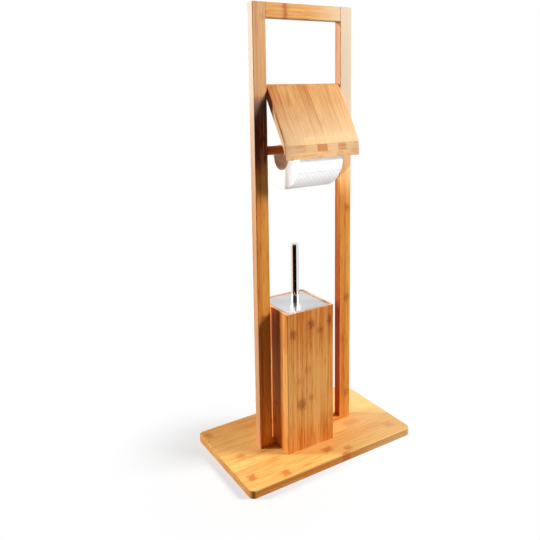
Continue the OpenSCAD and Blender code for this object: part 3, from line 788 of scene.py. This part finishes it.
# %% Card of the core
SEAM_PITCH = 0.06
card, card_shader, web = new_finish("card", Roughness=0.85, Specular_IOR_Level=0.2)
on_core = web.here()
cx, cy, cz = web.split(on_core)
pulp = web.cells(on_core, (500, 500, 500), detail=4, roughness=0.7)
round_core = web.math("DIVIDE", web.math("ARCTAN2", web.minus(cz, ROLL_Z), cy), 2 * math.pi)
wind = web.plus(round_core, web.math("DIVIDE", cx, SEAM_PITCH))
seam = web.ramp(web.math("ABSOLUTE", web.minus(web.math("FRACT", wind), 0.5)), 0.0, 0.012, 1, 0)
card_colour = web.mix(pulp, srgb(250, 234, 218), srgb(234, 214, 194))
card_colour = web.mix(web.times(seam, 0.6), card_colour, srgb(128, 98, 76))
paint(web, card_shader, card_colour, relief=web.dent(pulp, 0.3, 0.0003))
dress("roll_core", card)
print("card ready, its seam climbs", SEAM_PITCH, "m a turn")

# %% Wind the roll
roll_mesh = run_tree("wound_paper", tree, flat_roll, {
    "Core radius": CORE_R, "Roll radius": ROLL_R, "Step": STEP, "Width": ROLL_W, "Start angle": STEP_ANGLE,
    "Centre height": ROLL_Z, "Pillow": 0.0085, "Depth": 0.0006, "Material": paper})

# %% [markdown]
# The tree leaves the face of the step open, where the last turn ends. Its edge points are paired off from
# one side of the roll to the other, and each pair of rows gets a face.

# %% Close the step of the roll
shape = bmesh.new()
shape.from_mesh(roll_mesh)
edge_points = {}
for v in shape.verts:
    if v.is_boundary:
        edge_points.setdefault(round(v.co.x, 5), []).append(v)
rows = []
for side in sorted(edge_points):
    rows.append(sorted(edge_points[side], key=lambda v: math.hypot(v.co.y, v.co.z - ROLL_Z)))
for one, two in zip(rows, rows[1:]):
    ring = [one[0], two[0], two[-1], one[-1]]
    shape.faces.new([v for k, v in enumerate(ring) if v not in ring[:k]])
bmesh.ops.recalc_face_normals(shape, faces=shape.faces)
print("open edges of the roll:", sum(e.is_boundary for e in shape.edges))
shape.to_mesh(roll_mesh)
shape.free()
wound_paper = new_piece("wound_paper", roll_mesh, paper, 50)
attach(wound_paper, "roll")
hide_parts("paper_roll")
print("roll box:", [round(v, 4) for v in wound_paper.dimensions])

# %% [markdown]
# ## Steel
# The lid is brushed in one direction, which spreads each reflection across the strokes. The handle is a
# polished tube. Polished metal has hardly a colour of its own, so it is turned here with many sides and a
# small bevel, and the studio gives it its bright and dark streaks.

# %% Brushed steel
brushed, brushed_shader, web = new_finish("brushed_steel", Metallic=1.0, Anisotropic=0.6,
                                          Specular_IOR_Level=0.5)
spot = web.here()
strokes = web.cells(spot, (60, 2600, 2600), detail=4, roughness=0.65)
cloud = web.cells(spot, (35, 35, 35), detail=2)
rough = web.plus(web.times(strokes, 0.08), web.plus(web.times(cloud, 0.06), 0.24))
paint(web, brushed_shader, web.mix(strokes, srgb(214, 215, 216), srgb(198, 199, 200)), rough,
      web.dent(strokes, 0.08, 0.0001))
print("brushed steel ready")


# %% Even finishes
def even_finish(name, counts, tints, roughness, detail=3, between=(0.2, 0.8), **constants):
    """A material whose colour and roughness both follow one noise, each between two values."""
    made, shader, web = new_finish(name, **constants)
    noise = web.cells(web.here(), counts, detail=detail)
    colour = web.mix(noise, *(srgb(*tint) for tint in tints))
    paint(web, shader, colour, web.ramp(noise, *between, *roughness))
    return made


polished = even_finish("polished_chrome", (220, 220, 40), ((236, 236, 235), (222, 222, 221)), (0.05, 0.09),
                       detail=2, between=(0.3, 0.7), Metallic=1.0)
fixing = even_finish("plain_steel", (400, 400, 400), ((188, 188, 190), (160, 160, 163)), (0.3, 0.45),
                     Metallic=1.0)
for name in ("lid_plate", "brush_stem"):
    dress(name, brushed)
for name in ("handle_plug", "stem_washer", "stem_nut", "base_screws", "hinge_pins"):
    dress(name, fixing)
print("steel finishes ready")

# %% A turned piece
HANDLE_X = (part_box("handle_tube")[0].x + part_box("handle_tube")[1].x) / 2


def turned(name, section, sides=96):
    """A closed turned piece round the handle's axis, from a section of (radius, height) points."""
    lathe = bmesh.new()
    rings = []
    for r, z in section:
        if r == 0:
            rings.append([lathe.verts.new((HANDLE_X, 0, z))] * sides)
        else:
            rings.append([lathe.verts.new((HANDLE_X + r * math.cos(a), r * math.sin(a), z))
                          for a in (2 * math.pi * k / sides for k in range(sides))])
    pairs = list(zip(rings, rings[1:]))
    if section[0][0] or section[-1][0]:
        pairs.append((rings[-1], rings[0]))
    for low, high in pairs:
        for k in range(sides):
            corners = [low[k], low[(k + 1) % sides], high[(k + 1) % sides], high[k]]
            lathe.faces.new(list(dict.fromkeys(corners)))
    bmesh.ops.recalc_face_normals(lathe, faces=lathe.faces)
    mesh = bpy.data.meshes.new(name)
    lathe.to_mesh(mesh)
    lathe.free()
    return new_piece(name, mesh, polished)


# %% Turn the handle and its cap
TUBE_LOW, TUBE_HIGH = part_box("handle_tube")[0].z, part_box("handle_tube")[1].z
CAP_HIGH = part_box("handle_cap")[1].z
HANDLE_R, BORE_R, SOFT = 0.0075, 0.0065, 0.00025
CAP_BEVEL, CAP_SOFT, CAP_EDGE, CAP_FIT, CAP_PLUG = 0.0016, 0.0003, 0.0002, 0.00005, 0.008
tube = turned("handle_turned", [
    (BORE_R, TUBE_LOW), (HANDLE_R - SOFT, TUBE_LOW), (HANDLE_R, TUBE_LOW + SOFT),
    (HANDLE_R, TUBE_HIGH - SOFT), (HANDLE_R - SOFT, TUBE_HIGH), (BORE_R, TUBE_HIGH)])
cap = turned("cap_turned", [
    (0, TUBE_HIGH - CAP_PLUG), (BORE_R - CAP_FIT, TUBE_HIGH - CAP_PLUG), (BORE_R - CAP_FIT, TUBE_HIGH),
    (HANDLE_R - SOFT, TUBE_HIGH), (HANDLE_R, TUBE_HIGH + SOFT), (HANDLE_R, CAP_HIGH - CAP_BEVEL),
    (HANDLE_R - CAP_EDGE, CAP_HIGH - CAP_BEVEL + CAP_SOFT),
    (HANDLE_R - CAP_BEVEL + CAP_SOFT, CAP_HIGH - CAP_EDGE), (HANDLE_R - CAP_BEVEL, CAP_HIGH),
    (0, CAP_HIGH)])
for piece, node_name in ((tube, "handle_tube"), (cap, "handle_cap")):
    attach(piece, "brush")
    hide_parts(node_name)
print("handle from", round(TUBE_LOW, 4), "to", round(CAP_HIGH, 4))

# %% [markdown]
# ## Plastics and the tufts of the brush
# The liner and the core of the head are moulded plastic, which has a very fine grain from its mould. The
# tufts stand in rings round the core. They repeat by a rule, so a tree makes them: an open tube gives one
# point for each strand with its own outward direction, and a thin three-sided strand is set on each.

# %% Plastic finishes
dress("box_liner", even_finish("dark_plastic", (900, 900, 900), ((52, 52, 54), (38, 38, 40)),
                               (0.42, 0.56), Specular_IOR_Level=0.4))
dress("brush_core", even_finish("white_plastic", (600, 600, 600), ((240, 240, 238), (228, 228, 226)),
                                (0.25, 0.36), Specular_IOR_Level=0.5))
bristle_finish = even_finish("nylon", (300, 300, 300), ((250, 250, 248), (226, 228, 226)),
                             (0.38, 0.5), detail=2, Specular_IOR_Level=0.5)
print("plastic finishes ready")

# %% The tree that sets the strands
tree, g, given = new_tree("set_strands", {
    "Ring radius": "Float", "Low": "Float", "High": "Float", "Strand length": "Float",
    "Strand radius": "Float", "Rows": "Int", "Strands a row": "Int", "Axis X": "Float",
    "Down lean": "Float", "Up lean": "Float", "Seed": "Int", "Material": "Material"})
height = g.minus(given["High"], given["Low"])
g.add("GeometryNodeMeshCylinder", fill_type="NONE", named={
    "Vertices": given["Strands a row"], "Side Segments": given["Rows"],
    "Radius": given["Ring radius"], "Depth": height})
stations = g.tree.nodes[-1].outputs["Mesh"]
x, y, z = g.split(g.add("GeometryNodeInputPosition"))
share = g.plus(g.math("DIVIDE", z, height), 0.5)
lean = g.minus(g.times(g.ramp(share, 0.72, 1.0, smooth=False), given["Up lean"]),
              g.times(g.ramp(share, 0.42, 0.0, smooth=False), given["Down lean"]))
outward = g.vector("NORMALIZE", g.xyz(x, y, 0.0))
way = g.vector("NORMALIZE", g.vector("ADD", outward, g.xyz(0.0, 0.0, lean)))
shake = g.add("FunctionNodeRandomValue", data_type="FLOAT_VECTOR", named={
    "Min": (-0.09, -0.09, -0.07), "Max": (0.09, 0.09, 0.07), "Seed": given["Seed"]})
turn_to = g.add("FunctionNodeAlignEulerToVector", named={"Vector": g.vector("ADD", way, shake)}, axis="Z")
spine = g.add("GeometryNodeCurvePrimitiveLine", named={"End": g.xyz(0.0, 0.0, given["Strand length"])})
ring = g.add("GeometryNodeCurvePrimitiveCircle", named={"Resolution": 3, "Radius": given["Strand radius"]})
strand = g.add("GeometryNodeCurveToMesh", named={"Curve": spine, "Profile Curve": ring, "Fill Caps": True})
length = g.add("FunctionNodeRandomValue", data_type="FLOAT", out=1, named={
    "Min": 0.9, "Max": 0.985, "Seed": given["Seed"]})
tufts = g.add("GeometryNodeInstanceOnPoints", named={
    "Points": stations, "Instance": strand, "Rotation": turn_to, "Scale": g.xyz(1.0, 1.0, length)})
middle = g.times(g.plus(given["High"], given["Low"]), 0.5)
tufts = g.add("GeometryNodeTransform", named={
    "Geometry": tufts, "Translation": g.xyz(given["Axis X"], 0.0, middle)})
finish_tree(tree, g, tufts, given["Material"])
print("strand tree:", len(tree.nodes), "nodes")

# %% Grow the tufts
COLLAR_R, TUFTS_FROM, TUFTS_TALL = 0.0115, 0.0045, 0.065
head_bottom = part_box("brush_core")[0].z + TUFTS_FROM
strand_mesh = run_tree("bristle_tufts", tree, bpy.data.meshes.new("empty"), {
    "Ring radius": COLLAR_R, "Low": head_bottom, "High": head_bottom + TUFTS_TALL, "Strand length": 0.0268,
    "Strand radius": 0.00032, "Rows": 40, "Strands a row": 56, "Axis X": HANDLE_X, "Down lean": 1.15,
    "Up lean": 0.22, "Seed": 4, "Material": bristle_finish})
bristle_tufts = new_piece("bristle_tufts", strand_mesh, bristle_finish, 80)
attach(bristle_tufts, "brush")
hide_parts("bristles")

# %% [markdown]
# ## Floor, backdrop and light
# The stand was photographed on white. A soft key light stands high at the right and in front, and a tall
# lamp at the left and behind. A narrow lamp at the left keeps the paper white under the cover. The floor
# keeps the soft shadow near the stand and fades into white away from it. A dark screen that only mirrors
# can see stands in front, and gives the chrome its dark streak.


# %% Rays that see
def eye_or_mirror(web):
    """1 for what is seen, straight or in a mirror or through glass, and 0 for light on its way."""
    rays = web.tree.nodes.new("ShaderNodeLightPath").outputs
    return web.math("MAXIMUM", rays["Is Camera Ray"],
                    web.math("MAXIMUM", rays["Is Glossy Ray"], rays["Is Transmission Ray"]))


# %% Floor
FLOOR_HALF = 9
WHITE, FLOOR_DARK, FLOOR_SEEN = (1, 1, 1, 1), (0.13, 0.13, 0.13, 1), (0.42, 0.42, 0.42, 1)
FLOOR_LIFT = 0.45
SHADOW_CENTRE, SHADOW_NEAR, SHADOW_FAR = (-0.15, -0.01, 0), 0.06, 0.27
floor_mesh = bpy.data.meshes.new("floor")
corners = [(x * FLOOR_HALF, y * FLOOR_HALF, 0) for x, y in ((-1, -1), (1, -1), (1, 1), (-1, 1))]
floor_mesh.from_pydata(corners, [], [(0, 1, 2, 3)])
floor_finish = bpy.data.materials.new("white_floor")
floor_finish.use_nodes = True
web = Web(floor_finish.node_tree)
floor_finish.node_tree.nodes.clear()
seen_ray = eye_or_mirror(web)
from_foot = web.vector("SUBTRACT", web.here(), SHADOW_CENTRE)
away = web.vector("LENGTH", web.vector("MULTIPLY", from_foot, (1, 1, 0)), out=1)
far = web.times(web.ramp(away, SHADOW_NEAR, SHADOW_FAR), seen_ray)
matt = web.add("ShaderNodeBsdfDiffuse", named={"Color": web.mix(seen_ray, FLOOR_DARK, FLOOR_SEEN)})
lift = web.add("ShaderNodeEmission", named={"Color": WHITE, "Strength": web.times(seen_ray, FLOOR_LIFT)})
near = web.add("ShaderNodeAddShader", matt, lift)
white = web.add("ShaderNodeEmission", named={"Color": WHITE, "Strength": 1.0})
shown_floor = web.add("ShaderNodeMixShader", far, near, white)
web.put(floor_finish.node_tree.nodes.new("ShaderNodeOutputMaterial").inputs[0], shown_floor)
floor_mesh.materials.append(floor_finish)
floor = new_object("floor", floor_mesh)
print("floor across:", 2 * FLOOR_HALF)

# %% Dark screen for the mirror finish
screen_mesh = bpy.data.meshes.new("mirror_screen")
SCREEN_R, SCREEN_TOP = 0.78, 1.05
facing = math.atan2(CAMERA_PLACE.y, CAMERA_PLACE.x - HANDLE_X)
sweep = [facing + math.radians(a) for a in range(-52, 53, 4)]
rim = [(HANDLE_X + SCREEN_R * math.cos(a), SCREEN_R * math.sin(a)) for a in sweep]
screen_mesh.from_pydata([(x, y, z) for x, y in rim for z in (0.002, SCREEN_TOP)], [],
                        [(2 * k, 2 * k + 2, 2 * k + 3, 2 * k + 1) for k in range(len(rim) - 1)])
screen_finish = new_finish("black_cloth", Roughness=1.0, Specular_IOR_Level=0.0,
                           Base_Color=(0.006, 0.006, 0.006, 1))[0]
screen_mesh.materials.append(screen_finish)
screen = new_object("mirror_screen", screen_mesh)
screen.visible_camera = screen.visible_diffuse = screen.visible_shadow = False
screen.visible_transmission = screen.visible_volume_scatter = False
print("screen faces:", len(screen_mesh.polygons))

# %% World
scene.view_settings.view_transform = "Standard"
world = bpy.data.worlds.new("studio")
scene.world = world
world.use_nodes = True
web = Web(world.node_tree)
back = world.node_tree.nodes["Background"]
AMBIENT = 0.06
web.put(back.inputs["Strength"], web.ramp(eye_or_mirror(web), 0, 1, AMBIENT, 1.0, smooth=False))
back.inputs["Color"].default_value = WHITE
print("light from all round:", AMBIENT)


# %% Lamp helpers
def hang(light, place, way):
    """Puts a lamp at its place, looking along a way."""
    turn = way.to_track_quat("-Z", "Y").to_matrix().to_4x4()
    new_object(light.name, light).matrix_world = Matrix.Translation(place) @ turn
    print(light.name, "energy", round(light.energy, 1))


def soft_box(name, place, aim, width, height, level):
    """A rectangular lamp that lights a surface facing it, at its aim, to about the given level."""
    light = bpy.data.lights.new(name, "AREA")
    light.shape, light.size, light.size_y = "RECTANGLE", width, height
    way = Vector(aim) - Vector(place)
    light.energy = level * math.pi ** 2 * way.length_squared
    hang(light, place, way)


def snoot(name, place, aim, half_angle, level):
    """A narrow round lamp, as a photographer puts a tube before a lamp to light one small thing."""
    light = bpy.data.lights.new(name, "SPOT")
    way = Vector(aim) - Vector(place)
    light.spot_size, light.spot_blend, light.shadow_soft_size = 2 * math.radians(half_angle), 0.25, 0.02
    light.energy = level * 4 * math.pi ** 2 * way.length_squared
    hang(light, place, way)


# %% Lamps
MIDDLE, UNDER_LIP = (0, 0, 0.35), (-0.012, -0.055, 0.53)
soft_box("key", (1.9, -1.31, 1.70), MIDDLE, 0.9, 0.9, 1.44)
soft_box("left_wall", (-1.8, 1.06, 1.2), MIDDLE, 0.4, 0.8, 1.15)
snoot("paper_lamp", (-1.05, -0.72, 0.30), UNDER_LIP, 2.8, 1.12)

# %% [markdown]
# ## Finish
